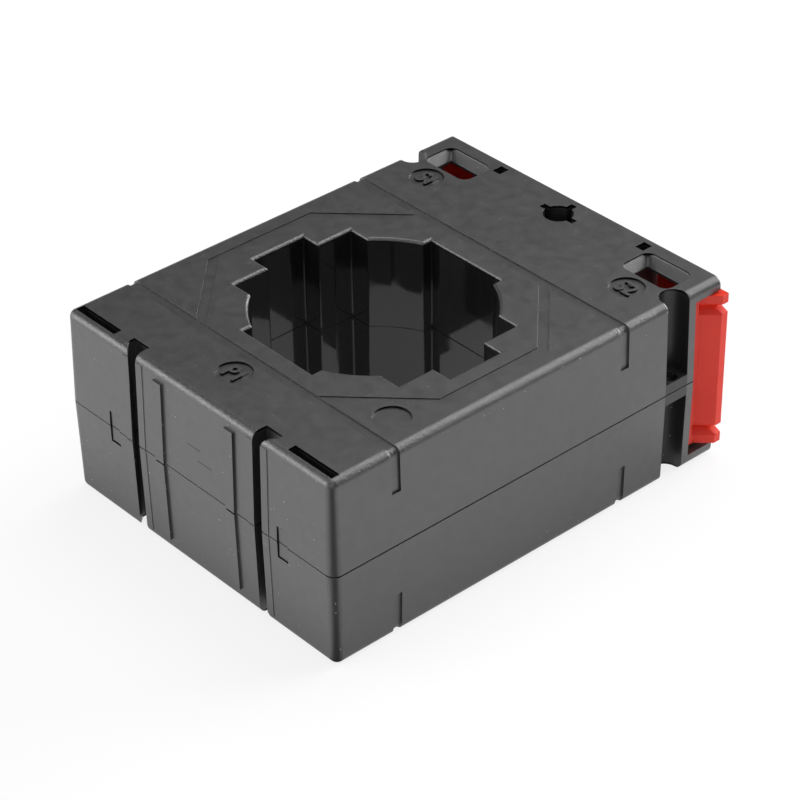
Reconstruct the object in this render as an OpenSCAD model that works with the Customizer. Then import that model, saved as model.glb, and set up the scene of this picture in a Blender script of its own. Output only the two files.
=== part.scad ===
// Plug-on current transformer with a stepped busbar window.
// Two moulded half shells hold a ring core, its secondary winding and the terminals S1 and S2.
// Origin: on the window's axis, at the face it lies on. +X width, +Y towards the terminals, +Z up.

/* [Case] */
// Width of the case at the parting plane
case_w = 85; // [84:1:110]
// Height of the case, across both half shells
case_h = 45; // [36:1:60]
// Distance from the window's axis to the front face
front_y = 48.5; // [46:0.5:62]
// Distance from the window's axis to the terminal end
end_y = 60.5; // [58:0.5:74]
// Wall thickness
wall = 2; // [1.6:0.1:2.4]
// Radius of the outer edges and corners
edge_r = 1.8; // [1.2:0.1:2.4]
// Draft angle of the moulded walls
draft = 1.3; // [0.5:0.1:2]
// Chamfer of each shell at the parting line
part_c = 0.2; // [0.1:0.05:0.3]

/* [Window] */
// Widest flat bar that passes: width and thickness of its way
bar_a = [61.6, 14]; // [40:0.1:62]
// Middle bar way: width and thickness
bar_b = [51.7, 32.5]; // [30:0.1:53]
// Cross bar way: width and length
bar_c = [21.8, 52.2]; // [10:0.1:53]
// Diameter of the round conductor's way
round_d = 52.2; // [40:0.1:53]
// Fillet at the window's rims
rim_r = 0.7; // [0.3:0.1:1]
// Thickness of the sleeve wall round the window
sleeve_wall = 1.5; // [1.2:0.1:2]

/* [Face grooves] */
// Width of the shallow grooves on the large faces
groove_w = 2.3; // [1.5:0.1:3]
// Depth of the shallow grooves
groove_d = 0.45; // [0.2:0.05:0.8]
// Distance of the two straight grooves from the window's axis
groove_y = 31.6; // [30:0.1:34]
// How far the straight grooves run down the sides
groove_drop = 10; // [6:0.5:14]
// Half width of the eight-sided groove, at its inner edge
octagon_x = 34.8; // [33:0.1:37]
// Corner cut of the eight-sided groove
octagon_cut = 17.1; // [12:0.1:20]
// Depth of the eight-sided groove
octagon_d = 0.2; // [0.1:0.05:0.6]
// Diameter of the round recesses for the terminal marks
mark_d = 8; // [6:0.1:9]
// Depth of the mark recesses
mark_depth = 0.5; // [0.2:0.05:0.8]

/* [Front face] */
// Inner edge of the dovetail grooves, from the middle
dove_x = 18.6; // [14:0.1:22]
// Width of the dovetail's mouth
dove_mouth = 2.4; // [1.8:0.1:3]
// How far the dovetail widens behind its mouth
dove_flare = 2.6; // [1:0.1:3]
// Depth of the dovetail grooves
dove_d = 4.2; // [3.5:0.1:5]
// Length of the foot slots
foot_l = 12.9; // [8:0.1:14]
// Width of the foot slots
foot_w = 2; // [1.5:0.1:2.5]
// Depth of the foot slots in each shell
foot_d = 16; // [8:1:18]
// Distance of the rib centres from the middle
rib_x = 11.4; // [8:0.1:14]
// Width of the front ribs
rib_w = 2.7; // [2:0.1:4]
// How far the front ribs stand proud
rib_h = 0.5; // [0.3:0.05:0.8]
// Width and height of a snap latch's window
latch = [3.2, 7.7]; // [2:0.1:10]
// Distance of the latches from the middle
latch_x = 27.1; // [25:0.1:30]

/* [Terminal end] */
// Radius of the side screw channels
channel_r = 3.2; // [2.5:0.1:3.6]
// How deep the channels reach into the side
channel_d = 5.3; // [4.2:0.1:5.6]
// Distance of the channels from the window's axis
channel_y = 47.4; // [47:0.1:50]
// Thickness of each shell's web across the channel
web_t = 2.6; // [1.6:0.1:3.5]
// Diameter of the web's screw hole
web_hole_d = 3.4; // [3:0.1:3.6]
// Diameter of the keyed hole between the terminals
key_d = 6.8; // [6:0.1:7]
// Distance of the keyed hole from the window's axis
key_y = 53.5; // [53:0.1:54]
// Width of the keyed hole's wings
key_wing = 1.6; // [1:0.1:1.7]
// Thickness of the plates above and below the terminals
plate_t = 2.9; // [2.4:0.1:3.4]
// Inner side of the terminal bays, from the middle
bay_x = 24.2; // [23.5:0.1:25]
// Width and length of a wire funnel's mouth
funnel = [13.6, 8.8]; // [8:0.1:14]
// Middle of a wire funnel
funnel_at = [30.8, 52.3]; // [28:0.1:53]
// Width and length of a wire funnel's throat
throat = [9.6, 5]; // [4.5:0.1:10]

/* [Terminal covers] */
// Gap between a cover and the lower plate
cover_gap = 1; // [0.8:0.1:5]
// How far a cover stands out of the end
cover_out = 0.4; // [0.1:0.1:2]
// How far a cover's grip stands out of the side
grip_out = 1.2; // [0.8:0.1:1.9]
// Wall thickness of a cover
cover_t = 1.4; // [1:0.1:1.8]
// Diameter of the screwdriver holes
driver_d = 5.4; // [5:0.1:5.8]
// Length of the grip's slanted face along the side
grip_slant = 3.3; // [2:0.1:4]
// Half height of the notches in a cover's grip
notch_h = 1.2; // [0.8:0.1:1.6]

/* [Core and winding] */
// Radial thickness of the core
core_t = 3.4; // [2:0.1:3.6]
// Room above and below the core, to the outer faces
core_room = 6.5; // [5.5:0.1:10]
// Thickness of the insulating caps on the core
cap_t = 0.5; // [0.3:0.1:0.6]
// Thickness of the secondary winding
coil_t = 0.8; // [0.5:0.1:1]
// Thickness of the tape over the winding
tape_t = 0.15; // [0.1:0.05:0.2]
// Diameter of the lead wires over their insulation
lead_d = 2; // [1.4:0.1:2.6]

/* [Terminals] */
// Width of a terminal bar
bar_w = 10; // [8:0.1:10]
// Thickness of a terminal bar
bar_t = 2.5; // [1.5:0.1:3]
// Room above and below a terminal bar, to the outer faces
bar_room = 7.5; // [6:0.1:12]
// Diameter of the terminal screws
screw_d = 4; // [3:0.5:4]
// Diameter of the screw heads
head_d = 7.4; // [6:0.1:7.6]
// Distance of the screws from the parting plane
screw_z = 8.5; // [7:0.1:10]

/* [Hidden] */
$fn = 48;
eps = 0.01;
seat_gap = 0.1;
half_h = case_h / 2;
// Arc centre to wall face, at the parting plane, to a hundredth so that faces meet exactly
skirt = round(100 * (edge_r + (half_h - edge_r) * tan(draft))) / 100;
arc_x = case_w / 2 - skirt;
arc_y = front_y - skirt;
// Face of the terminal end at the large faces
end_top = end_y - round(100 * half_h * tan(draft)) / 100;
channel_x = case_w / 2 - channel_d + channel_r;
boss_wall = 1.2;
bay_y = channel_y + channel_r + 2;
bay_back = channel_y - 0.8;
cavity_end = bay_back - 1.6;
cavity_front = -(front_y - dove_d - wall - 0.4);
cover_z = plate_t + cover_gap;
cover_h = case_h - plate_t - 0.4 - cover_z;
cover_in = bay_x + 0.3;
wing_x = case_w / 2 - 2;
slant_start = bay_y + 3.2;
// Middles of the mark recesses in the upper face: P1, S1, S2 and a spare one
mark_at = [[0, -37.3], [-31.1, 43], [31.1, 43], [33.2, -24.6]];
bar_y = bay_back + 1.4;
bar_h = case_h - 2 * bar_room;
// The core's parts clear the sleeve's farthest corner.
sleeve_r = max(norm([bar_a[0] / 2 + sleeve_wall, bar_a[1] / 2 + sleeve_wall]),
    norm([bar_b[0] / 2 + sleeve_wall, bar_b[1] / 2 + sleeve_wall]), round_d / 2 + sleeve_wall);
core_ri = sleeve_r + 0.35 + tape_t + coil_t + cap_t;
core_h = case_h - 2 * core_room;
coil_ri = core_ri - cap_t - coil_t;
coil_ro = core_ri + core_t + cap_t + coil_t;
coil_h = core_h + 2 * (cap_t + coil_t);

// ---- helpers ----

// Keeps a shape and adds its mirror image on the other side of the middle.
module both_sides() {
    children();
    mirror([1, 0, 0]) children();
}

// S1 is on the -X side and S2 on the +X side.
module on_side(side) {
    if (side == 1) mirror([1, 0, 0]) children();
    if (side == 2) children();
}

// Turns a flat drawing upright: drawing x stays x, drawing y becomes z, centred along y.
module upright_x(length) {
    translate([0, length / 2, 0]) rotate([90, 0, 0]) linear_extrude(length) children();
}

// The same, with drawing x along -y and the length along x.
module upright_y(length) {
    translate([-length / 2, 0, 0]) rotate([90, 0, 90]) linear_extrude(length) mirror([1, 0, 0]) children();
}

// Section of one drafted wall with its rounded top edge, out from the arc's centre line.
module wall_section(inset = 0) {
    r = edge_r - inset;
    zc = half_h - edge_r;
    polygon([[0, 0], [skirt - inset - part_c, 0], [skirt - inset, part_c], [r, zc], [0, zc]]);
    translate([0, zc]) intersection() {
        circle(r);
        square(r + 1);
    }
}

// Section across the case: flat top, two drafted walls.
module case_section(inset = 0) {
    translate([-arc_x, 0]) square([2 * arc_x, half_h - inset]);
    translate([arc_x, 0]) wall_section(inset);
    translate([-arc_x, 0]) mirror([1, 0]) wall_section(inset);
}

// One closed half, standing on the parting plane.
module half_block() {
    length = arc_y + end_y;
    intersection() {
        union() {
            translate([0, (end_y - arc_y) / 2, 0]) upright_x(length) case_section();
            translate([0, -arc_y, 0]) upright_y(2 * arc_x) wall_section();
            for (side = [0, 1]) mirror([side, 0, 0])
                translate([arc_x, -arc_y, 0]) rotate([0, 0, -90]) rotate_extrude(angle = 90) wall_section();
        }
        end_trim();
    }
}

// Flat drafted face of the terminal end.
module end_trim() {
    reach = 200;
    translate([-reach / 2, end_y, 0]) rotate([draft, 0, 0]) translate([0, -reach, -reach / 2])
        cube([reach, reach, reach]);
}

// ---- cuts in a half shell, in its own frame: parting plane at z = 0, large face at z = half_h ----

// A bar way with both rims rounded.
module bar_way(size) {
    intersection() {
        upright_x(size[1] + 10) flared(size[0]);
        upright_y(size[0] + 10) flared(size[1]);
    }
}

module flared(span) {
    translate([-span / 2, -1]) square([span, half_h + 2]);
    for (s = [0, 1]) mirror([s, 0]) rim_fillet(span / 2);
}

// What a rounded rim takes away outside a straight way, and above the face.
module rim_fillet(at) {
    difference() {
        translate([at - eps, half_h - rim_r]) square([rim_r + eps, rim_r + 1]);
        translate([at + rim_r, half_h - rim_r]) circle(rim_r);
    }
}

module round_way() {
    translate([0, 0, -1]) cylinder(d = round_d, h = half_h + 2);
    rotate_extrude() rim_fillet(round_d / 2);
}

module window_cut() {
    bar_way(bar_a);
    bar_way(bar_b);
    bar_way(bar_c);
    round_way();
}

module window_outline(grow) {
    square([bar_a[0] + 2 * grow, bar_a[1] + 2 * grow], center = true);
    square([bar_b[0] + 2 * grow, bar_b[1] + 2 * grow], center = true);
    square([bar_c[0] + 2 * grow, bar_c[1] + 2 * grow], center = true);
    circle(d = round_d + 2 * grow);
}

// Room for the core, round the sleeve.
module cavity() {
    side = case_w / 2 - wall;
    difference() {
        translate([-side, cavity_front, -1]) cube([2 * side, cavity_end - cavity_front, half_h - wall + 1]);
        translate([0, 0, -2]) linear_extrude(half_h + 2) window_outline(sleeve_wall);
        both_sides() translate([channel_x, channel_y, -2]) cylinder(r = channel_r + boss_wall, h = half_h + 2);
    }
}

module octagon(x, y, cut) {
    polygon([
        [x, y - cut], [x - cut, y], [-x + cut, y], [-x, y - cut],
        [-x, -y + cut], [-x + cut, -y], [x - cut, -y], [x, -y + cut]
    ]);
}

module face_grooves() {
    inner_y = groove_y - groove_w / 2;
    outer_cut = octagon_cut + groove_w * (2 - sqrt(2));
    for (s = [-1, 1]) translate([0, s * groove_y, 0]) difference() {
        translate([-case_w, -groove_w / 2, half_h - groove_drop]) cube([2 * case_w, groove_w, groove_drop + 1]);
        upright_x(groove_w + 2) case_section(groove_d);
    }
    translate([0, 0, half_h - octagon_d]) linear_extrude(1) difference() {
        octagon(octagon_x + groove_w, inner_y + groove_w, outer_cut);
        octagon(octagon_x, inner_y, octagon_cut);
    }
}

// Dovetail groove for a mounting foot, open at both large faces.
module dovetail() {
    mouth = dove_x + dove_mouth;
    translate([0, -front_y, -1]) linear_extrude(half_h + 2) polygon([
        [dove_x, -1], [mouth, -1], [mouth, 0.3], [mouth + dove_flare, 0.3 + dove_flare],
        [mouth + dove_flare, dove_d], [dove_x, dove_d]
    ]);
}

module foot_slot() {
    start = dove_x + dove_mouth + dove_flare + 4;
    translate([start, -front_y + 2, half_h - foot_d]) cube([foot_l, foot_w, foot_d + 1]);
}

module side_channel() {
    for (z = [0, 1]) translate([channel_x, channel_y, z == 0 ? -1 : web_t]) {
        r = z == 0 ? web_hole_d / 2 : channel_r;
        cylinder(r = r, h = half_h + 2);
        if (z == 1) translate([0, -r, 0]) cube([10, 2 * r, half_h + 2]);
    }
}

// What the chamfers take away at the parting line, round the window and across the terminal end.
module parting_line() {
    translate([0, 0, -1]) linear_extrude(1 + part_c) window_outline(0.12);
    translate([0, end_y, 0]) rotate([45, 0, 0]) cube([2 * case_w, part_c * sqrt(2), part_c * sqrt(2)], center = true);
}

module keyed_hole() {
    reach = 5;
    translate([0, key_y, -1]) {
        cylinder(d = key_d, h = half_h + 2);
        translate([-reach, -key_wing / 2, 0]) cube([2 * reach, key_wing, half_h + 2]);
        translate([-key_wing / 2, 0, 0]) cube([key_wing, reach, half_h + 2]);
    }
}

// Small square hole beside each cover.
module release_hole() {
    size = [2.3, 2.8, 8];
    translate([bay_x - 0.9 - size[0], end_top - 1.3 - size[1], half_h - size[2]]) cube([size[0], size[1], size[2] + 1]);
}

module rounded_rect(size, r) {
    square([size[0] - 2 * r, size[1]], center = true);
    square([size[0], size[1] - 2 * r], center = true);
    for (x = [-1, 1], y = [-1, 1]) translate([x * (size[0] / 2 - r), y * (size[1] / 2 - r)]) circle(r);
}

// Section of a funnel: straight throat, then slopes that pass the mouth's edge just under the face.
module funnel_section(mouth, neck) {
    depth = plate_t - 0.6 - 0.3;
    over = 1;
    wide = mouth / 2 + (mouth - neck) / 2 * (over + 0.3) / depth;
    polygon([[-neck / 2, -1], [neck / 2, -1], [neck / 2, 0.6], [wide, plate_t + over], [-wide, plate_t + over], [-neck / 2, 0.6]]);
}

// Oblong mouth that narrows to the throat under the plate.
module wire_funnel() {
    translate([funnel_at[0], funnel_at[1], half_h - plate_t]) intersection() {
        upright_x(30) funnel_section(funnel[0], throat[0]);
        upright_y(30) funnel_section(funnel[1], throat[1]);
        translate([0, 0, -2]) linear_extrude(plate_t + 4) rounded_rect(funnel, 2.2);
    }
}

// The terminal bay, open at the end and the side between the two plates.
module terminal_bay() {
    top = half_h - plate_t;
    inner_side = channel_x - channel_r - boss_wall;
    translate([bay_x, bay_back, -1]) cube([inner_side - bay_x, 40, top + 1]);
    translate([bay_x, bay_y, -1]) cube([60, 40, top + 1]);
    lead_way();
}

// Round way for a lead, half in each shell.
module lead_way() {
    translate([funnel_at[0] - 0.1, cavity_end - 1, 0]) rotate([-90, 0, 0]) cylinder(d = lead_d + 1.4, h = 4.5);
}

// Hollows that lighten the block between the bays.
module end_pockets() {
    boss = key_d / 2 + 2.2;
    width = bay_x - wall - boss;
    translate([boss, bay_back, -1]) cube([width, end_y - wall - 3.4 - bay_back, half_h - plate_t + 1]);
}

// Window of a snap latch, half in each shell.
module latch_window() {
    translate([latch_x - latch[0] / 2, -front_y - 1, -1]) cube([latch[0], 2.4, latch[1] / 2 + 1]);
}

// ---- pieces added to a half shell ----

// Raised strips on the front face follow its draft.
module front_strip(x, width, proud, z_top) {
    translate([x - width / 2, -front_y, 0]) rotate([-draft, 0, 0])
        translate([0, -proud, part_c]) cube([width, proud + 1, z_top - part_c]);
}

module front_ribs() {
    top = half_h - edge_r - 1.2;
    front_strip(rib_x, rib_w, rib_h, top);
    lip = 0.12;
    lip_w = 2;
    front_strip(dove_x - lip_w / 2, lip_w, lip, half_h - edge_r);
    front_strip(dove_x + dove_mouth + lip_w / 2, lip_w, lip, half_h - edge_r);
}

// Ribs that hold a terminal bar at its edges, and a block at its end.
module bar_seat() {
    side = bar_w / 2 + seat_gap;
    rib = 1.2;
    top = half_h - plate_t + eps;
    translate([funnel_at[0], bay_back - eps, 0]) {
        for (s = [0, 1]) mirror([s, 0, 0]) translate([side, 0, 0]) cube([rib, bar_y + bar_t - bay_back, top]);
        translate([-side - eps, 0, bar_h / 2 + seat_gap]) cube([2 * side + 2 * eps, 3.4, top - bar_h / 2 - seat_gap]);
        for (s = [0, 1]) mirror([s, 0, 0]) translate([side - 2, 0, 0]) cube([2.5, bar_y - bay_back, top]);
    }
}

module half_shell() {
    difference() {
        union() {
            half_block();
            both_sides() front_ribs();
        }
        window_cut();
        cavity();
        face_grooves();
        both_sides() {
            dovetail();
            foot_slot();
            side_channel();
            release_hole();
            wire_funnel();
            terminal_bay();
            end_pockets();
            latch_window();
        }
        keyed_hole();
        parting_line();
    }
    difference() {
        both_sides() bar_seat();
        both_sides() lead_way();
    }
}

// Snap tongue of the upper shell, which reaches down into the lower shell's window.
module snap_tongue() {
    gap = 0.3;
    long = latch[1] / 2 - gap;
    translate([latch_x - latch[0] / 2 + gap, -front_y + 0.3, 0]) {
        cube([latch[0] - 2 * gap, 1.6, long]);
        translate([0, 0, -long]) cube([latch[0] - 2 * gap, 1.1, long + eps]);
    }
}

module upper_shell() {
    color("#2b2b2d") translate([0, 0, half_h]) {
        difference() {
            half_shell();
            for (at = mark_at) translate([at[0], at[1], half_h - mark_depth]) cylinder(d = mark_d, h = 2);
        }
        both_sides() snap_tongue();
    }
}

module lower_shell() {
    color("#262628") translate([0, 0, half_h]) mirror([0, 0, 1]) half_shell();
}

// ---- core and winding ----

module ring(ri, ro, h, z) {
    translate([0, 0, z]) rotate_extrude() translate([ri, 0]) square([ro - ri, h]);
}

module ring_core() {
    color("#8d8f92") ring(core_ri, core_ri + core_t, core_h, half_h - core_h / 2);
}

// Insulating cap over one half of the core.
module core_cap() {
    translate([0, 0, half_h]) rotate_extrude() difference() {
        translate([core_ri - cap_t, seat_gap / 2]) square([core_t + 2 * cap_t, core_h / 2 + cap_t - seat_gap / 2]);
        translate([core_ri, -1]) square([core_t, core_h / 2 + 1]);
    }
}

module core_cap_upper() {
    color("#e8e2cc") core_cap();
}

module core_cap_lower() {
    color("#e8e2cc") translate([0, 0, case_h]) mirror([0, 0, 1]) core_cap();
}

// A closed ring skin: outer box section less the one inside it.
module ring_skin(ri, ro, h, t) {
    translate([0, 0, half_h]) rotate_extrude() difference() {
        translate([ri, -h / 2]) square([ro - ri, h]);
        translate([ri + t, -h / 2 + t]) square([ro - ri - 2 * t, h - 2 * t]);
    }
}

module secondary_winding() {
    color("#b4622d") ring_skin(coil_ri, coil_ro, coil_h, coil_t);
}

module winding_tape() {
    color("#d9c24a") ring_skin(coil_ri - tape_t, coil_ro + tape_t, coil_h + 2 * tape_t, tape_t);
}

module cushion_ring() {
    base = coil_h / 2 + tape_t;
    ring(coil_ri, coil_ro, half_h - wall - base, half_h + base);
}

module cushion_ring_upper() {
    color("#3a3a3a") cushion_ring();
}

module cushion_ring_lower() {
    color("#3a3a3a") translate([0, 0, case_h]) mirror([0, 0, 1]) cushion_ring();
}

// ---- terminals ----

// A lead leaves the winding and bends round until it ends square on the back of its bar.
lead_r = 24;
lead_centre = [funnel_at[0] - lead_r, bar_y];
lead_start = coil_ro + tape_t + 0.15;
lead_turn = acos((pow(lead_start, 2) - pow(norm(lead_centre), 2) - pow(lead_r, 2)) / (2 * lead_r * norm(lead_centre)))
    - atan2(lead_centre[1], lead_centre[0]);

module lead_arc(from, to) {
    translate([lead_centre[0], lead_centre[1], half_h]) rotate([0, 0, -from])
        rotate_extrude(angle = from - to) translate([lead_r, 0]) children();
}

module lead(side) {
    on_side(side) lead_arc(lead_turn, 0) circle(d = lead_d);
}

module lead_s1() {
    color("#c9c9c9") lead(1);
}

module lead_s2() {
    color("#c9c9c9") lead(2);
}

// Sleeve on a lead, held where the lead passes the wall of its bay.
module lead_sleeve(side) {
    start = asin((bar_y - cavity_end + 1.2) / lead_r);
    end = asin((bar_y - bay_back + 0.4) / lead_r);
    on_side(side) lead_arc(start, end) difference() {
        circle(d = lead_d + 1);
        circle(d = lead_d + 0.16);
    }
}

module lead_sleeve_s1() {
    color("#e6e6e6") lead_sleeve(1);
}

module lead_sleeve_s2() {
    color("#e6e6e6") lead_sleeve(2);
}

module terminal_bar(side) {
    on_side(side) translate([funnel_at[0], bar_y, half_h]) difference() {
        translate([-bar_w / 2, 0, -bar_h / 2]) cube([bar_w, bar_t, bar_h]);
        for (s = [-1, 1]) translate([0, -1, s * screw_z]) rotate([-90, 0, 0]) cylinder(d = screw_d, h = bar_t + 2);
    }
}

module terminal_bar_s1() {
    color("#c8b98a") terminal_bar(1);
}

module terminal_bar_s2() {
    color("#c8b98a") terminal_bar(2);
}

module screw() {
    slot = [5, 1];
    head_h = 2.6;
    under = bar_t + 2.2;
    rotate([-90, 0, 0]) difference() {
        union() {
            cylinder(d = screw_d - 0.04, h = under + eps);
            translate([0, 0, under]) cylinder(d = head_d, h = head_h);
        }
        for (a = [0, 90]) rotate([0, 0, a]) translate([-slot[0] / 2, -slot[1] / 2, under + head_h - 1.3])
            cube([slot[0], slot[1], 2]);
    }
}

module terminal_screws(side) {
    on_side(side) for (s = [-1, 1]) translate([funnel_at[0], bar_y, half_h + s * screw_z]) screw();
}

module terminal_screws_s1() {
    color("#b9bcc0") terminal_screws(1);
}

module terminal_screws_s2() {
    color("#b9bcc0") terminal_screws(2);
}

module clamp_washers(side) {
    size = [9, 1.2, 9];
    on_side(side) for (s = [-1, 1]) translate([funnel_at[0], bar_y + bar_t + 1, half_h + s * screw_z])
        difference() {
            translate([-size[0] / 2, 0, -size[2] / 2]) cube(size);
            translate([0, -1, 0]) rotate([-90, 0, 0]) cylinder(d = screw_d + 0.3, h = 4);
        }
}

module clamp_washers_s1() {
    color("#d0d2d4") clamp_washers(1);
}

module clamp_washers_s2() {
    color("#d0d2d4") clamp_washers(2);
}

// ---- terminal covers ----

// Plan of a cover: front wall across the bay, wing along the side, and the slanted grip.
module cover_plan() {
    front = end_y + cover_out;
    grip = case_w / 2 + grip_out;
    polygon([
        [cover_in, front - cover_t], [wing_x - cover_t, front - cover_t], [wing_x - cover_t, bay_y + 0.3],
        [wing_x, bay_y + 0.3], [wing_x, slant_start], [grip, slant_start + grip_slant], [grip, front], [cover_in, front]
    ]);
}

// Section of a notch: a vee that points along the drawing's x, with half the height of its mouth.
module vee(deep, half_mouth) {
    open = half_mouth * (1 + 1 / deep);
    polygon([[-1, open], [deep, 0], [-1, -open]]);
}

// Notch round the grip, cut square to the side face and to the slanted face.
module grip_notch(z) {
    grip = case_w / 2 + grip_out;
    slant = [grip - wing_x, grip_slant];
    translate([grip, 0, z]) rotate([90, 0, 0]) translate([0, 0, -100]) linear_extrude(200)
        mirror([1, 0]) vee(grip_out + 1.3, notch_h);
    translate([wing_x, slant_start, z]) rotate([0, 0, atan2(slant[1], slant[0])]) rotate([90, 0, 90])
        translate([0, 0, -0.3]) linear_extrude(norm(slant) + 1.3) vee(cover_t + 0.1, notch_h + 0.2);
}

module terminal_cover(side) {
    top_band = 3.4;
    on_side(side) difference() {
        translate([0, 0, cover_z]) linear_extrude(cover_h) cover_plan();
        grip_notch(cover_z + top_band);
        grip_notch(cover_z + cover_h - top_band);
        for (s = [-1, 1]) translate([funnel_at[0], end_y - 4, half_h + s * screw_z]) rotate([-90, 0, 0])
            cylinder(d = driver_d, h = 10);
    }
}

module terminal_cover_s1() {
    color("#cc2f2a") terminal_cover(1);
}

module terminal_cover_s2() {
    color("#cc2f2a") terminal_cover(2);
}

upper_shell();
lower_shell();
ring_core();
core_cap_upper();
core_cap_lower();
secondary_winding();
winding_tape();
cushion_ring_upper();
cushion_ring_lower();
lead_s1();
lead_s2();
lead_sleeve_s1();
lead_sleeve_s2();
terminal_bar_s1();
terminal_bar_s2();
terminal_screws_s1();
terminal_screws_s2();
clamp_washers_s1();
clamp_washers_s2();
terminal_cover_s1();
terminal_cover_s2();
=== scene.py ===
"""Looks of a busbar current transformer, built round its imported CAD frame."""

import math

import bpy
from bpy.props import FloatProperty, PointerProperty, StringProperty
from mathutils import Matrix, Vector


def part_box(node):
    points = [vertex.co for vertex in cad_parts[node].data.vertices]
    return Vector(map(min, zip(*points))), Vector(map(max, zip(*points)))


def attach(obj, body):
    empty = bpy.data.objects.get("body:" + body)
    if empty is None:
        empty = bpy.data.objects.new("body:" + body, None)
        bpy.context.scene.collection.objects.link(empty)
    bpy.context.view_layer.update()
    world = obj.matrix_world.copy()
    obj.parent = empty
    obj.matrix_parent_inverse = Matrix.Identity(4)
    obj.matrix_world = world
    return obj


bl_info = {
    "name": "Current transformer looks",
    "version": (1, 0, 0),
    "blender": (4, 5, 0),
    "location": "3D View > Sidebar > Transformer",
    "description": "Finishes, terminal marks and studio for a busbar current transformer",
    "category": "Object",
}

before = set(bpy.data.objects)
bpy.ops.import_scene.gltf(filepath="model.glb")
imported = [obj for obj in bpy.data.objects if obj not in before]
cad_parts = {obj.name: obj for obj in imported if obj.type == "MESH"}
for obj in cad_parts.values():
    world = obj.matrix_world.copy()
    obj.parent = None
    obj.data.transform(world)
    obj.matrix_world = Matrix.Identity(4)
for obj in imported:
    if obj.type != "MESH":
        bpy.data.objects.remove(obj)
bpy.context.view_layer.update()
MM = 0.001
CASE_LOW, CASE_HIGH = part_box("upper_shell")
TOP_Z = CASE_HIGH.z
# Direction over the floor from the case's axis to the corner that faces the camera.
NEAR_CORNER = (0.749, -0.663, 0.0)

# Places and sizes in mm that the case's finish follows. Heights are from the floor, and x and y are from the
# window's axis.
PARTING_Z = TOP_Z / MM / 2
JOINT_HALF = 0.16
WINDOW_REACH = 32.4
WINDOW_HALF = 28.0
MARK_WALL = 0.56
GROOVE_Y = 31.6
CHANNEL_X = 35.4
CHANNEL_Y = 47.4
CHANNEL_HALF = 3.3
FUNNELS_FROM = 41.0
# Middle, height and half length of each witness line.
WITNESS_LINES = ((-0.4, 31.7, 2.1), (3.05, 29.0, 2.25))

# Ridges round the core that stand for the turns of the winding.
WINDING_TURNS = 460


# ---- colours and shader nodes ----

# Sockets are numbered where Blender gives several the same name. On a Map Range node, 0 is the value, 1 and 2
# the range it comes from, and 3 and 4 the range it goes to. On a Mix node, 0 is the share, 2 and 3 are the
# numbers, and 6 and 7 the colours. A Math node that compares gives 1 where its values 0 and 1 differ by no
# more than its value 2, and it gives 0 elsewhere.


def linear(hex_colour):
    """Linear RGBA of an sRGB hex colour."""
    channels = [int(hex_colour[i : i + 2], 16) / 255 for i in (1, 3, 5)]
    straight = [c / 12.92 if c <= 0.04045 else ((c + 0.055) / 1.055) ** 2.4 for c in channels]
    return (*straight, 1.0)


def plug(tree, node, inputs):
    """Sets a node's sockets to values, or links them to other sockets or to the output of other nodes."""
    for socket, value in inputs.items():
        if isinstance(value, bpy.types.Node):
            value = next(output for output in value.outputs if output.enabled)
        if isinstance(value, bpy.types.NodeSocket):
            tree.links.new(value, node.inputs[socket])
        else:
            node.inputs[socket].default_value = value


def add(tree, kind, inputs=None, **settings):
    """A shader node with its settings, and its sockets set or linked."""
    made = tree.nodes.new(kind)
    for name, value in settings.items():
        setattr(made, name, value)
    plug(tree, made, inputs or {})
    return made


def new_material(name):
    """An empty material with its output and a shader, and its object coordinates in millimetres.

    A noise on these coordinates has its scale in waves a millimetre.
    """
    made = bpy.data.materials.new(name)
    made.use_nodes = True
    tree = made.node_tree
    tree.nodes.clear()
    shader = add(tree, "ShaderNodeBsdfPrincipled")
    add(tree, "ShaderNodeOutputMaterial", {"Surface": shader})
    metres = add(tree, "ShaderNodeTexCoord").outputs["Object"]
    place = add(tree, "ShaderNodeVectorMath", {0: metres, "Scale": 1 / MM}, operation="SCALE")
    return made, tree, shader, place


def along(tree, vector):
    """How far a direction on the floor points to the case's near corner: 1 straight towards it, -1 away."""
    straight = add(tree, "ShaderNodeVectorMath", {0: vector}, operation="NORMALIZE")
    return add(tree, "ShaderNodeVectorMath", {0: straight, 1: NEAR_CORNER}, operation="DOT_PRODUCT")


def finish_pieces(material, *names):
    """Gives CAD pieces one material each."""
    for name in names:
        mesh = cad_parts[name].data
        mesh.materials.clear()
        mesh.materials.append(material)


# ---- what a user can change ----


class CaseFinish(bpy.types.PropertyGroup):
    """The two black half shells. Lengths are in mm."""

    colour: StringProperty(name="Colour", description="Plastic colour", default="#1b1b1c")
    dust: StringProperty(name="Dust", description="Colour of the dust specks", default="#a8a6a0")
    roughness: FloatProperty(name="Roughness", description="Roughness of the eroded faces", default=0.42)
    polish: FloatProperty(name="Polish", description="Roughness of the window's walls", default=0.06)
    edge: FloatProperty(name="Edge radius", description="Radius that every moulded edge has", default=0.06)
    corner: FloatProperty(
        name="Corner radius", description="Radius of the window's upright corners", default=0.7
    )
    grain: FloatProperty(name="Grain", description="Height of the eroded grain", default=0.18)


class CoverFinish(bpy.types.PropertyGroup):
    """The red terminal covers."""

    colour: StringProperty(name="Colour", description="Plastic colour", default="#e43215")


class MarkSizes(bpy.types.PropertyGroup):
    """The raised terminal marks in their round recesses."""

    letter: FloatProperty(
        name="Letter size", description="Font size of the marks", default=5.9 * MM, subtype="DISTANCE"
    )
    depth: FloatProperty(
        name="Depth", description="Depth of the round recesses", default=0.5 * MM, subtype="DISTANCE"
    )
    stroke: FloatProperty(
        name="Stroke", description="What thickens each stroke", default=0.12 * MM, subtype="DISTANCE"
    )
    narrow: FloatProperty(name="Narrow", description="Width of a letter over its font's", default=0.86)


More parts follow.
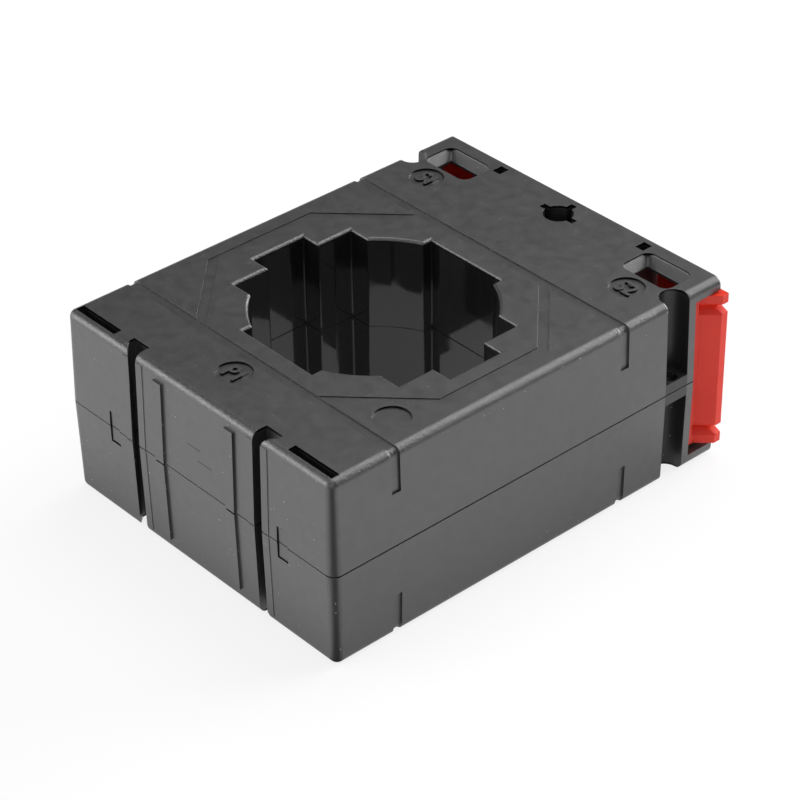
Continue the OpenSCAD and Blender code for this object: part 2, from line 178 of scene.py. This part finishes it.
class Studio(bpy.types.PropertyGroup):
    """Floor, lamps, sky and camera. Sky and floor levels count for reflections, and 1 is white."""

    floor: StringProperty(name="Floor", description="Floor colour", default="#f4f4f4")
    top_power: FloatProperty(name="Top lamp", description="Overhead lamp", default=3.0, unit="POWER")
    key_power: FloatProperty(
        name="Key lamp", description="Lamp beside the camera", default=1.6, unit="POWER"
    )
    front_power: FloatProperty(
        name="Front lamp", description="Lamp before the near end", default=6.5, unit="POWER"
    )
    side_power: FloatProperty(
        name="Side lamp", description="Lamp past the terminal end", default=12.0, unit="POWER"
    )
    horizon: FloatProperty(name="Horizon", description="Sky at the horizon", default=0.12)
    middle_sky: FloatProperty(name="Middle sky", description="Sky halfway up", default=0.07)
    high_sky: FloatProperty(name="High sky", description="What the sky overhead adds", default=0.64)
    backdrop: FloatProperty(name="Backdrop", description="What the low sky behind adds", default=0.55)
    # Levels of the mirrored floor: a painted pool of light that falls off far out, and painted shadows before
    # the near corner, in the window and at the case's foot.
    far_floor: FloatProperty(name="Far floor", description="Floor far out", default=0.15)
    front_shadow_level: FloatProperty(name="Front floor", description="Floor before the near corner", default=0.15)
    window_shade_level: FloatProperty(name="Window floor", description="Floor in the window", default=0.62)
    foot_shadow_level: FloatProperty(name="Foot floor", description="Floor at the case's foot", default=0.66)
    lens: FloatProperty(name="Lens", description="Focal length in mm on a 36 mm sensor", default=129.36)


# ---- materials ----


def case_plastic(finish):
    """Glass-filled polycarbonate, moulded black.

    The outer faces come from a spark-eroded mould, so they are matt with a fine grain and hold pale dust.
    The window's walls come from a polished core, so they reflect softly.
    """
    material, tree, shader, place = new_material("Black polycarbonate, moulded")
    # The eroded grain is finer than 0.1 mm. It is drawn about 0.5 mm wide, as coarse as it needs to show.
    grain = add(
        tree, "ShaderNodeTexNoise", {"Vector": place, "Scale": 1.9, "Detail": 3.0, "Roughness": 0.65}
    )
    cloud = add(
        tree, "ShaderNodeTexNoise", {"Vector": place, "Scale": 0.06, "Detail": 3.0, "Roughness": 0.55}
    )
    scuff = add(
        tree, "ShaderNodeTexNoise", {"Vector": place, "Scale": 0.35, "Detail": 4.0, "Roughness": 0.6}
    )

    # Zones of the case, each 1 inside it and 0 outside. The square of the normal's upward part tells how
    # flat a face lies.
    spot = add(tree, "ShaderNodeSeparateXYZ", {"Vector": place})
    x, y, z = (spot.outputs[name] for name in "XYZ")
    facing = add(tree, "ShaderNodeNewGeometry").outputs["Normal"]
    up = add(tree, "ShaderNodeSeparateXYZ", {"Vector": facing}).outputs["Z"]
    flat = add(tree, "ShaderNodeMath", {0: up, 1: up}, operation="MULTIPLY")
    upright = add(tree, "ShaderNodeMath", {0: flat, 1: 0.02}, operation="LESS_THAN")
    steep = add(tree, "ShaderNodeMath", {0: flat, 1: 0.1}, operation="LESS_THAN")
    sloped = add(tree, "ShaderNodeMath", {0: flat, 1: 0.5, 2: 0.48}, operation="COMPARE")

    ground = add(tree, "ShaderNodeCombineXYZ", {"X": x, "Y": y})
    reach = add(tree, "ShaderNodeVectorMath", {0: ground}, operation="LENGTH")
    near_axis = add(tree, "ShaderNodeMath", {0: reach, 1: WINDOW_REACH}, operation="LESS_THAN")
    across = add(tree, "ShaderNodeMath", {0: y, 1: 0.0, 2: WINDOW_HALF}, operation="COMPARE")
    inside = add(tree, "ShaderNodeMath", {0: near_axis, 1: across}, operation="MULTIPLY")
    window_wall = add(tree, "ShaderNodeMath", {0: inside, 1: upright}, operation="MULTIPLY")
    by_joint = add(tree, "ShaderNodeMath", {0: z, 1: PARTING_Z, 2: 1.0}, operation="COMPARE")
    corner = add(tree, "ShaderNodeMath", {0: window_wall, 1: by_joint}, operation="GREATER_THAN")

    # Dirt and shadow settle in the joint between the two shells.
    joint = add(tree, "ShaderNodeMath", {0: z, 1: PARTING_Z, 2: JOINT_HALF}, operation="COMPARE")
    seam = add(tree, "ShaderNodeMath", {0: joint, 1: inside}, operation="GREATER_THAN")
    # Two short witness lines of a mould insert, 0.16 mm wide, on the near end.
    end_face = add(tree, "ShaderNodeMath", {0: y, 1: CASE_LOW.y / MM + 1.0}, operation="LESS_THAN")
    for line_x, line_z, half in WITNESS_LINES:
        long = add(tree, "ShaderNodeMath", {0: x, 1: line_x, 2: half}, operation="COMPARE")
        thin = add(tree, "ShaderNodeMath", {0: z, 1: line_z, 2: 0.08}, operation="COMPARE")
        line = add(tree, "ShaderNodeMath", {0: long, 1: thin}, operation="MULTIPLY")
        line = add(tree, "ShaderNodeMath", {0: line, 1: end_face}, operation="MULTIPLY")
        seam = add(tree, "ShaderNodeMath", {0: seam, 1: line}, operation="MAXIMUM")

    # The low walls of the marks and slots in the top and underside are painted near black as shade, but not
    # those of the grooves.
    below = add(tree, "ShaderNodeMath", {0: z, 1: PARTING_Z, 2: PARTING_Z - MARK_WALL}, operation="COMPARE")
    side = add(tree, "ShaderNodeMath", {0: y}, operation="ABSOLUTE")
    groove = add(tree, "ShaderNodeMath", {0: side, 1: GROOVE_Y, 2: 1.4}, operation="COMPARE")
    spared = add(tree, "ShaderNodeMath", {0: below, 1: inside}, operation="MAXIMUM")
    spared = add(tree, "ShaderNodeMath", {0: spared, 1: groove}, operation="MAXIMUM")
    shaded_low_wall = add(tree, "ShaderNodeMath", {0: steep, 1: spared}, operation="GREATER_THAN")
    black = add(tree, "ShaderNodeMath", {0: seam, 1: shaded_low_wall}, operation="MAXIMUM")

    # Painted shade: the reflection on the walls of the half-round screw channels at the sides is darkened
    # through the specular tint, as on the shaded low walls and the joint.
    channel = add(tree, "ShaderNodeMath", {0: y, 1: CHANNEL_Y, 2: CHANNEL_HALF}, operation="COMPARE")
    inboard = add(tree, "ShaderNodeMath", {0: x, 1: 0.0, 2: CHANNEL_X}, operation="COMPARE")
    painted_reflection_shade = add(tree, "ShaderNodeMath", {0: channel, 1: inboard}, operation="GREATER_THAN")
    painted_reflection_shade = add(tree, "ShaderNodeMath", {0: painted_reflection_shade, 1: upright}, operation="MULTIPLY")
    painted_reflection_shade = add(tree, "ShaderNodeMath", {0: painted_reflection_shade, 1: 0.75}, operation="MULTIPLY")
    painted_reflection_shade = add(tree, "ShaderNodeMath", {0: painted_reflection_shade, 1: black}, operation="MAXIMUM")
    shade_tint = add(tree, "ShaderNodeMix", {0: painted_reflection_shade, 6: (1, 1, 1, 1), 7: (0, 0, 0, 1)}, data_type="RGBA")

    # Dust specks of 0.1 to 0.3 mm, drawn as coarse as they need to show. Fewer lie where it is less scuffed.
    speck = add(tree, "ShaderNodeTexVoronoi", {"Vector": place, "Scale": 1.0}, feature="F1")
    draw = add(tree, "ShaderNodeSeparateColor", {"Color": speck.outputs["Color"]}).outputs["Red"]
    widest = add(tree, "ShaderNodeMapRange", {0: draw, 1: 0.5, 2: 1.0, 3: 0.0, 4: 0.17})
    share = add(tree, "ShaderNodeMapRange", {0: scuff, 1: 0.42, 2: 0.6, 3: 0.4, 4: 1.0})
    size = add(tree, "ShaderNodeMath", {0: widest, 1: share}, operation="MULTIPLY")
    speck = add(tree, "ShaderNodeMath", {0: speck.outputs["Distance"], 1: size}, operation="LESS_THAN")
    speck = add(tree, "ShaderNodeMath", {0: speck, 1: window_wall}, operation="GREATER_THAN")
    strength = add(tree, "ShaderNodeMapRange", {0: flat, 1: 0.0, 2: 1.0, 3: 0.85, 4: 0.3})
    speck = add(tree, "ShaderNodeMath", {0: speck, 1: strength}, operation="MULTIPLY")

    pale = add(tree, "ShaderNodeMapRange", {0: cloud, 1: 0.3, 2: 0.7, 3: 0.0, 4: 1.0})
    base = add(
        tree, "ShaderNodeMix", {0: pale, 6: linear("#161617"), 7: linear("#222223")}, data_type="RGBA"
    )
    base = add(tree, "ShaderNodeMix", {0: 0.6, 6: base, 7: linear(finish.colour)}, data_type="RGBA")
    base = add(tree, "ShaderNodeMix", {0: speck, 6: base, 7: linear(finish.dust)}, data_type="RGBA")
    # Painted shade darkens the window's walls and the shaded low walls towards #050505; at the joint the same
    # darkening stands for dirt and shadow.
    painted_shade_and_joint_dirt = add(tree, "ShaderNodeMath", {0: window_wall, 1: 0.7}, operation="MULTIPLY")
    painted_shade_and_joint_dirt = add(tree, "ShaderNodeMath", {0: black, 1: painted_shade_and_joint_dirt}, operation="MAXIMUM")
    base = add(tree, "ShaderNodeMix", {0: painted_shade_and_joint_dirt, 6: base, 7: linear("#050505")}, data_type="RGBA")

    low, high = finish.roughness - 0.05, finish.roughness + 0.05
    rough = add(tree, "ShaderNodeMapRange", {0: scuff, 1: 0.3, 2: 0.7, 3: low, 4: high})
    polish = finish.polish - finish.roughness
    rough = add(tree, "ShaderNodeMath", {0: window_wall, 1: polish, 2: rough}, operation="MULTIPLY_ADD")
    rough = add(tree, "ShaderNodeMix", {0: shaded_low_wall, 2: rough, 3: 0.15}, data_type="FLOAT")
    rough = add(tree, "ShaderNodeMix", {0: seam, 2: rough, 3: 0.95}, data_type="FLOAT")

    # The moulded edges are nearly sharp, but the window's upright corners have a radius. The large round
    # edges are blended over their facets.
    sharp, turned = finish.edge * MM, finish.corner * MM
    radius = add(tree, "ShaderNodeMix", {0: corner, 2: sharp, 3: turned}, data_type="FLOAT")
    radius = add(tree, "ShaderNodeMix", {0: sloped, 2: radius, 3: 0.5 * MM}, data_type="FLOAT")
    rounded = add(tree, "ShaderNodeBevel", {"Radius": radius}, samples=8)
    # The grain stands out on the round edges. The polished walls and the terminals' funnels have little.
    outer = add(tree, "ShaderNodeMath", {0: y, 1: FUNNELS_FROM}, operation="LESS_THAN")
    outer = add(tree, "ShaderNodeMath", {0: sloped, 1: outer}, operation="MULTIPLY")
    height = add(tree, "ShaderNodeMath", {0: outer, 1: 0.7, 2: 0.15}, operation="MULTIPLY_ADD")
    keep = add(tree, "ShaderNodeMath", {0: window_wall, 1: -0.95, 2: 1.0}, operation="MULTIPLY_ADD")
    height = add(tree, "ShaderNodeMath", {0: height, 1: keep}, operation="MULTIPLY")
    height = add(tree, "ShaderNodeMath", {0: grain, 1: height}, operation="MULTIPLY")
    eroded = {"Height": height, "Strength": 1.0, "Distance": finish.grain * MM, "Normal": rounded}
    plug(
        tree,
        shader,
        {
            "Base Color": base,
            "Roughness": rough,
            "Specular Tint": shade_tint,
            "Normal": add(tree, "ShaderNodeBump", eroded),
            "IOR": 1.56,
            "Specular IOR Level": 1.0,
            "Coat Weight": 0.4,
            "Coat Roughness": 0.35,
        },
    )
    return material


def cover_plastic(finish):
    """Red ABS from a smooth mould: an even satin, with no grain to be seen."""
    material, tree, shader, place = new_material("Red ABS, moulded")
    cloud = add(tree, "ShaderNodeTexNoise", {"Vector": place, "Scale": 0.15, "Detail": 2.0})
    base = {0: cloud, 6: linear("#d8230e"), 7: linear(finish.colour)}
    patchy = add(tree, "ShaderNodeTexNoise", {"Vector": place, "Scale": 0.8, "Detail": 2.0})
    rough = add(tree, "ShaderNodeMapRange", {0: patchy, 1: 0.3, 2: 0.7, 3: 0.38, 4: 0.42})
    base = add(tree, "ShaderNodeMix", base, data_type="RGBA")
    plug(tree, shader, {"Base Color": base, "Roughness": rough, "IOR": 1.45})
    return material


def plated_metal(name, colour, shade, roughness, scratch):
    """A turned or stamped part with a thin bright plating, its tool lines and a slight cloud."""
    material, tree, shader, place = new_material(name)
    cloud = add(tree, "ShaderNodeTexNoise", {"Vector": place, "Scale": 0.5, "Detail": 3.0})
    base = {0: cloud, 6: linear(shade), 7: linear(colour)}
    # The tool lines lie about 0.2 mm apart, as coarse as they need to show.
    waves = {"Vector": place, "Scale": 1.4, "Distortion": 2.0, "Detail": 3.0, "Detail Scale": 2.0}
    lines = add(tree, "ShaderNodeTexWave", waves, bands_direction="Z").outputs["Fac"]
    rough = {0: lines, 1: 0.0, 2: 1.0, 3: roughness, 4: roughness + 0.12}
    scratched = {"Height": lines, "Strength": 1.0, "Distance": scratch * MM}
    plug(
        tree,
        shader,
        {
            "Base Color": add(tree, "ShaderNodeMix", base, data_type="RGBA"),
            "Roughness": add(tree, "ShaderNodeMapRange", rough),
            "Normal": add(tree, "ShaderNodeBump", scratched),
            "Metallic": 1.0,
        },
    )
    return material


def inner_finish(name, colour, shade, roughness, per_mm, depth, stretch=(1.0, 1.0, 1.0)):
    """A plain inner piece: its colour clouded at its own scale, with a grain or windings as bump."""
    material, tree, shader, place = new_material(name)
    stretched = add(tree, "ShaderNodeVectorMath", {0: place, 1: stretch}, operation="MULTIPLY")
    grain = add(tree, "ShaderNodeTexNoise", {"Vector": stretched, "Scale": per_mm, "Detail": 3.0})
    base = {0: grain, 6: linear(shade), 7: linear(colour)}
    rough = {0: grain, 1: 0.3, 2: 0.7, 3: roughness - 0.06, 4: roughness + 0.06}
    raised = {"Height": grain, "Strength": 1.0, "Distance": depth * MM}
    plug(
        tree,
        shader,
        {
            "Base Color": add(tree, "ShaderNodeMix", base, data_type="RGBA"),
            "Roughness": add(tree, "ShaderNodeMapRange", rough),
            "Normal": add(tree, "ShaderNodeBump", raised),
        },
    )
    return material


def winding_copper():
    """Enamelled copper wire of about 0.5 mm, laid side by side as ridges round the core's section."""
    material, tree, shader, place = new_material("Enamelled copper wire")
    spot = add(tree, "ShaderNodeSeparateXYZ", {"Vector": place})
    angle = add(tree, "ShaderNodeMath", {0: spot.outputs["Y"], 1: spot.outputs["X"]}, operation="ARCTAN2")
    turns = add(tree, "ShaderNodeMath", {0: angle, 1: WINDING_TURNS / 2}, operation="MULTIPLY")
    ridge = add(tree, "ShaderNodeMath", {0: turns}, operation="SINE")
    ridge = add(tree, "ShaderNodeMath", {0: ridge}, operation="ABSOLUTE")
    # Painted shade: the copper is darker in the valleys between the turns than on their crowns.
    base = {0: ridge, 6: linear("#5e2410"), 7: linear("#b5602c")}
    raised = {"Height": ridge, "Strength": 1.0, "Distance": 0.2 * MM}
    plug(
        tree,
        shader,
        {
            "Base Color": add(tree, "ShaderNodeMix", base, data_type="RGBA"),
            "Roughness": add(tree, "ShaderNodeMapRange", {0: ridge, 1: 0.0, 2: 1.0, 3: 0.45, 4: 0.25}),
            "Normal": add(tree, "ShaderNodeBump", raised),
            "Metallic": 0.8,
        },
    )
    return material


# ---- operators ----


class CT_OT_case(bpy.types.Operator):
    """Finishes the two half shells"""

    bl_idname = "transformer.case"
    bl_label = "Case"

    def execute(self, context):
        material = case_plastic(context.scene.case_finish)
        finish_pieces(material, "upper_shell", "lower_shell")
        return {"FINISHED"}


class CT_OT_covers(bpy.types.Operator):
    """Finishes the two pull-off terminal covers"""

    bl_idname = "transformer.covers"
    bl_label = "Terminal covers"

    def execute(self, context):
        material = cover_plastic(context.scene.cover_finish)
        finish_pieces(material, "terminal_cover_s1", "terminal_cover_s2")
        return {"FINISHED"}


class CT_OT_terminals(bpy.types.Operator):
    """Finishes the terminal bars, screws, washers and leads"""

    bl_idname = "transformer.terminals"
    bl_label = "Terminals"

    def execute(self, context):
        bars = plated_metal("Tinned brass, stamped", "#d8d0b8", "#b8ae92", 0.3, 0.004)
        screws = plated_metal("Zinc-plated steel, headed", "#dadcdf", "#a9abae", 0.24, 0.006)
        washers = plated_metal("Zinc-plated steel, stamped", "#d2d4d6", "#a4a6a8", 0.32, 0.004)
        finish_pieces(bars, "terminal_bar_s1", "terminal_bar_s2")
        finish_pieces(screws, "terminal_screws_s1", "terminal_screws_s2")
        finish_pieces(washers, "clamp_washers_s1", "clamp_washers_s2")
        finish_pieces(
            inner_finish("PVC insulation, extruded", "#d6d4cc", "#c4c1b6", 0.4, 1.0, 0.01),
            "lead_s1",
            "lead_s2",
        )
        finish_pieces(
            inner_finish("Silicone sleeving", "#e6e5e0", "#d2d0c8", 0.5, 1.5, 0.01),
            "lead_sleeve_s1",
            "lead_sleeve_s2",
        )
        return {"FINISHED"}


class CT_OT_core(bpy.types.Operator):
    """Finishes the core, its caps, the winding, its tape and the cushion rings"""

    bl_idname = "transformer.core"
    bl_label = "Core and winding"

    def execute(self, context):
        # The edges of a wound strip show as fine rings. Here an even grain stands for them.
        core = inner_finish("Silicon steel strip, wound", "#9b9da0", "#6f7174", 0.38, 2.0, 0.03)
        finish_pieces(core, "ring_core")
        finish_pieces(
            inner_finish("Nylon, natural", "#e9e2cb", "#d8cfb2", 0.45, 0.8, 0.01),
            "core_cap_upper",
            "core_cap_lower",
        )
        finish_pieces(winding_copper(), "secondary_winding")
        finish_pieces(
            inner_finish("Polyester tape, wound", "#d9b53a", "#c39a22", 0.28, 0.4, 0.04, (1.0, 1.0, 0.15)),
            "winding_tape",
        )
        finish_pieces(
            inner_finish("Cell rubber, cut", "#3a3a3a", "#202020", 0.8, 1.6, 0.15),
            "cushion_ring_upper",
            "cushion_ring_lower",
        )
        return {"FINISHED"}


# Name, letters and place in mm of each raised mark.
MARKS = (
    ("mark_p1", "P1", (0.0, -37.3)),
    ("mark_s1", "S1", (-31.1, 43.0)),
    ("mark_s2", "S2", (31.1, 43.0)),
)


class CT_OT_marks(bpy.types.Operator):
    """Sets the raised marks P1, S1 and S2 in their round recesses"""

    bl_idname = "transformer.marks"
    bl_label = "Terminal marks"

    def execute(self, context):
        sizes = context.scene.mark_sizes
        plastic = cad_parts["upper_shell"].data.materials[0]
        for name, words, (x, y) in MARKS:
            bpy.ops.object.select_all(action="DESELECT")
            bpy.ops.object.text_add(location=(0, 0, 0))
            piece = context.object
            piece.data.body = words
            piece.data.size = sizes.letter
            piece.data.align_x = "CENTER"
            piece.data.align_y = "CENTER"
            piece.data.extrude = sizes.depth / 2
            piece.data.resolution_u = 3
            piece.data.offset = sizes.stroke
            bpy.ops.object.convert(target="MESH")
            piece = context.object
            piece.name = name
            # The letters stand in the middle of the recess, and their tops are just under the case's.
            low = Vector([min(v.co[i] for v in piece.data.vertices) for i in range(3)])
            high = Vector([max(v.co[i] for v in piece.data.vertices) for i in range(3)])
            middle = (low + high) / 2
            piece.scale = (sizes.narrow, 1.0, 1.0)
            piece.location = (
                x * MM - sizes.narrow * middle.x,
                y * MM - middle.y,
                TOP_Z - sizes.depth / 2 - middle.z - 0.02 * MM,
            )
            bpy.ops.object.transform_apply(location=True, rotation=True, scale=True)
            piece.data.materials.clear()
            piece.data.materials.append(plastic)
            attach(piece, "case")
        return {"FINISHED"}


# ---- studio ----

CAMERA_PLACE = Vector((379.61, -328.59, 366.66)) * MM
CAMERA_TARGET = Vector((5.28, 2.23, 22.43)) * MM
CAMERA_ROLL = math.radians(-0.75)
LAMP_TARGET = (0, 0.01, 0.03)


def white_card(studio):
    """Matt white card for the floor, with its own levels where it is mirrored.

    Mirrored, the card shows a painted pool of light: bright round the case and behind it, and darker further
    out on the other sides. A painted shadow darkens it ahead of the near corner, and painted shade makes it a
    little darker inside the window and at the case's foot.
    """
    paint = bpy.data.materials.new("White card")
    paint.use_nodes = True
    tree = paint.node_tree
    tree.nodes.clear()
    path = add(tree, "ShaderNodeLightPath").outputs
    rays = {0: path["Is Glossy Ray"], 1: path["Is Transmission Ray"]}
    mirrored = add(tree, "ShaderNodeMath", rays, operation="MAXIMUM")
    spot = add(tree, "ShaderNodeTexCoord").outputs["Object"]
    away = add(tree, "ShaderNodeVectorMath", {0: spot}, operation="LENGTH")
    behind = add(tree, "ShaderNodeMapRange", {0: along(tree, spot), 1: -0.9, 2: -0.4, 3: 1.0, 4: 0.0})
    far = add(tree, "ShaderNodeMapRange", {0: behind, 1: 0.0, 2: 1.0, 3: studio.far_floor, 4: 1.0})
    out = add(tree, "ShaderNodeMapRange", {0: away, 1: 0.18, 2: 0.45, 3: 0.0, 4: 1.0})
    bright = add(tree, "ShaderNodeMix", {0: out, 2: 1.0, 3: far}, data_type="FLOAT")

    corner = (CASE_HIGH.x - 4 * MM, CASE_LOW.y + 4 * MM, 0.0)
    from_corner = add(tree, "ShaderNodeVectorMath", {0: spot, 1: corner}, operation="SUBTRACT")
    ahead = {0: along(tree, from_corner), 1: 0.7, 2: 0.97, 3: 1.0, 4: studio.front_shadow_level}
    window = {0: away, 1: 0.033, 2: 0.035, 3: studio.window_shade_level, 4: 1.0}
    # How far out a spot lies from the case's sides, or from its ends, where each metre counts three times.
    parts = add(tree, "ShaderNodeSeparateXYZ", {"Vector": spot}).outputs
    beyond_x = add(tree, "ShaderNodeMath", {0: parts["X"]}, operation="ABSOLUTE")
    beyond_x = add(tree, "ShaderNodeMath", {0: beyond_x, 1: CASE_HIGH.x}, operation="SUBTRACT")
    beyond_y = add(tree, "ShaderNodeMath", {0: parts["Y"]}, operation="ABSOLUTE")
    beyond_y = add(tree, "ShaderNodeMath", {0: beyond_y, 1: -CASE_LOW.y}, operation="SUBTRACT")
    beyond_y = add(tree, "ShaderNodeMath", {0: beyond_y, 1: 3.0}, operation="MULTIPLY")
    beyond = add(tree, "ShaderNodeMath", {0: beyond_x, 1: beyond_y}, operation="MAXIMUM")
    foot = {0: beyond, 1: 0.0, 2: 0.035, 3: studio.foot_shadow_level, 4: 1.0}
    # Painted shadows on the mirrored card: ahead of the near corner, inside the window and at the case's
    # foot.
    for zone in (ahead, window, foot):
        share = add(tree, "ShaderNodeMapRange", zone)
        bright = add(tree, "ShaderNodeMath", {0: bright, 1: share}, operation="MULTIPLY")
    level = add(tree, "ShaderNodeMix", {0: mirrored, 2: 1.0, 3: bright}, data_type="FLOAT")

    pale = {0: level, 6: (0, 0, 0, 1), 7: linear(studio.floor)}
    card = add(tree, "ShaderNodeBsdfDiffuse", {"Color": add(tree, "ShaderNodeMix", pale, data_type="RGBA")})
    glow = add(tree, "ShaderNodeEmission", {"Color": (1, 1, 1, 1), "Strength": level})
    # Seen or mirrored, the card glows for the most part, so that it stays white away from the lamps.
    seen = add(tree, "ShaderNodeMath", {0: path["Is Camera Ray"], 1: mirrored}, operation="MAXIMUM")
    share = add(tree, "ShaderNodeMath", {0: seen, 1: 0.8}, operation="MULTIPLY")
    both = add(tree, "ShaderNodeMixShader", {0: share, 1: card, 2: glow})
    add(tree, "ShaderNodeOutputMaterial", {"Surface": both})
    return paint


def studio_sky(studio):
    """A dim sky with a bright ceiling and a pale backdrop low down behind."""
    world = bpy.data.worlds.new("Studio")
    world.use_nodes = True
    tree = world.node_tree
    tree.nodes.clear()
    direction = add(tree, "ShaderNodeTexCoord").outputs["Generated"]
    up = add(tree, "ShaderNodeSeparateXYZ", {"Vector": direction}).outputs["Z"]
    away = {0: along(tree, direction), 1: -0.75, 2: -0.35, 3: 1.0, 4: 0.0}
    behind = add(tree, "ShaderNodeMapRange", away)
    low = add(tree, "ShaderNodeMapRange", {0: up, 1: 0.1, 2: 0.26, 3: studio.backdrop, 4: 0.0})
    wall = add(tree, "ShaderNodeMapRange", {0: up, 1: 0.0, 2: 0.6, 3: studio.horizon, 4: studio.middle_sky})
    ceiling = add(tree, "ShaderNodeMapRange", {0: up, 1: 0.68, 2: 0.8, 3: 0.0, 4: studio.high_sky})
    level = add(tree, "ShaderNodeMath", {0: wall, 1: ceiling}, operation="ADD")
    level = add(tree, "ShaderNodeMath", {0: behind, 1: low, 2: level}, operation="MULTIPLY_ADD")
    sky = add(tree, "ShaderNodeBackground", {"Color": (1, 1, 1, 1), "Strength": level})
    add(tree, "ShaderNodeOutputWorld", {"Surface": sky})
    return world


def softbox(name, place, size, power):
    """A rectangular lamp that faces the case."""
    turn = (Vector(LAMP_TARGET) - Vector(place)).to_track_quat("-Z", "Y").to_euler()
    bpy.ops.object.light_add(type="AREA", location=place, rotation=turn)
    lamp = bpy.context.object
    lamp.name = name
    lamp.data.shape = "RECTANGLE"
    lamp.data.size, lamp.data.size_y = size
    lamp.data.energy = power


def place_camera(lens):
    """A camera aimed at the case and rolled a little about its own line of sight."""
    bpy.ops.object.camera_add(location=CAMERA_PLACE)
    camera = bpy.context.object
    forward = (CAMERA_TARGET - CAMERA_PLACE).normalized()
    right = forward.cross(Vector((0, 0, 1))).normalized()
    up = right.cross(forward)
    turned_right = math.cos(CAMERA_ROLL) * right + math.sin(CAMERA_ROLL) * up
    turned_up = -math.sin(CAMERA_ROLL) * right + math.cos(CAMERA_ROLL) * up
    turn = Matrix((turned_right, turned_up, -forward)).transposed()
    camera.matrix_world = Matrix.Translation(CAMERA_PLACE) @ turn.to_4x4()
    camera.data.lens = lens
    camera.data.sensor_width = 36
    camera.data.clip_start = 0.01
    return camera


class CT_OT_stage(bpy.types.Operator):
    """Sets the floor, the lamps, the world and the camera"""

    bl_idname = "transformer.stage"
    bl_label = "Studio"

    def execute(self, context):
        studio = context.scene.studio
        scene = context.scene
        scene.view_settings.view_transform = "Standard"

        bpy.ops.object.select_all(action="DESELECT")
        bpy.ops.mesh.primitive_plane_add(size=8.0, location=(0, 0, -0.0001))
        floor = context.object
        floor.name = "floor"
        floor.data.materials.append(white_card(studio))
        scene.world = studio_sky(studio)

        softbox("top_lamp", (-0.05, 0.3, 0.8), (0.6, 0.6), studio.top_power)
        softbox("key_lamp", (0.66, -0.58, 0.4), (0.6, 0.6), studio.key_power)
        softbox("front_lamp", (-0.55, -0.75, 0.25), (0.9, 0.5), studio.front_power)
        softbox("side_lamp", (0.18, 0.95, 0.35), (0.8, 0.6), studio.side_power)
        scene.camera = place_camera(studio.lens)
        return {"FINISHED"}


class CT_PT_panel(bpy.types.Panel):
    """Lists the steps that finish the transformer"""

    bl_idname = "CT_PT_panel"
    bl_label = "Current transformer"
    bl_space_type = "VIEW_3D"
    bl_region_type = "UI"
    bl_category = "Transformer"

    def draw(self, context):
        for step in STEPS:
            self.layout.operator(step.bl_idname)


GROUPS = {
    "case_finish": CaseFinish,
    "cover_finish": CoverFinish,
    "mark_sizes": MarkSizes,
    "studio": Studio,
}
STEPS = (CT_OT_case, CT_OT_covers, CT_OT_terminals, CT_OT_core, CT_OT_marks, CT_OT_stage)


def register():
    """Registers the property groups, the operators and the panel."""
    for name, group in GROUPS.items():
        bpy.utils.register_class(group)
        setattr(bpy.types.Scene, name, PointerProperty(type=group))
    for step in STEPS:
        bpy.utils.register_class(step)
    bpy.utils.register_class(CT_PT_panel)


def unregister():
    """Removes them in the opposite order."""
    bpy.utils.unregister_class(CT_PT_panel)
    for step in reversed(STEPS):
        bpy.utils.unregister_class(step)
    for name, group in reversed(GROUPS.items()):
        delattr(bpy.types.Scene, name)
        bpy.utils.unregister_class(group)


def main():
    """Runs every step in order."""
    register()
    bpy.ops.transformer.case()
    bpy.ops.transformer.covers()
    bpy.ops.transformer.terminals()
    bpy.ops.transformer.core()
    bpy.ops.transformer.marks()
    bpy.ops.transformer.stage()


if __name__ == "__main__":
    main()
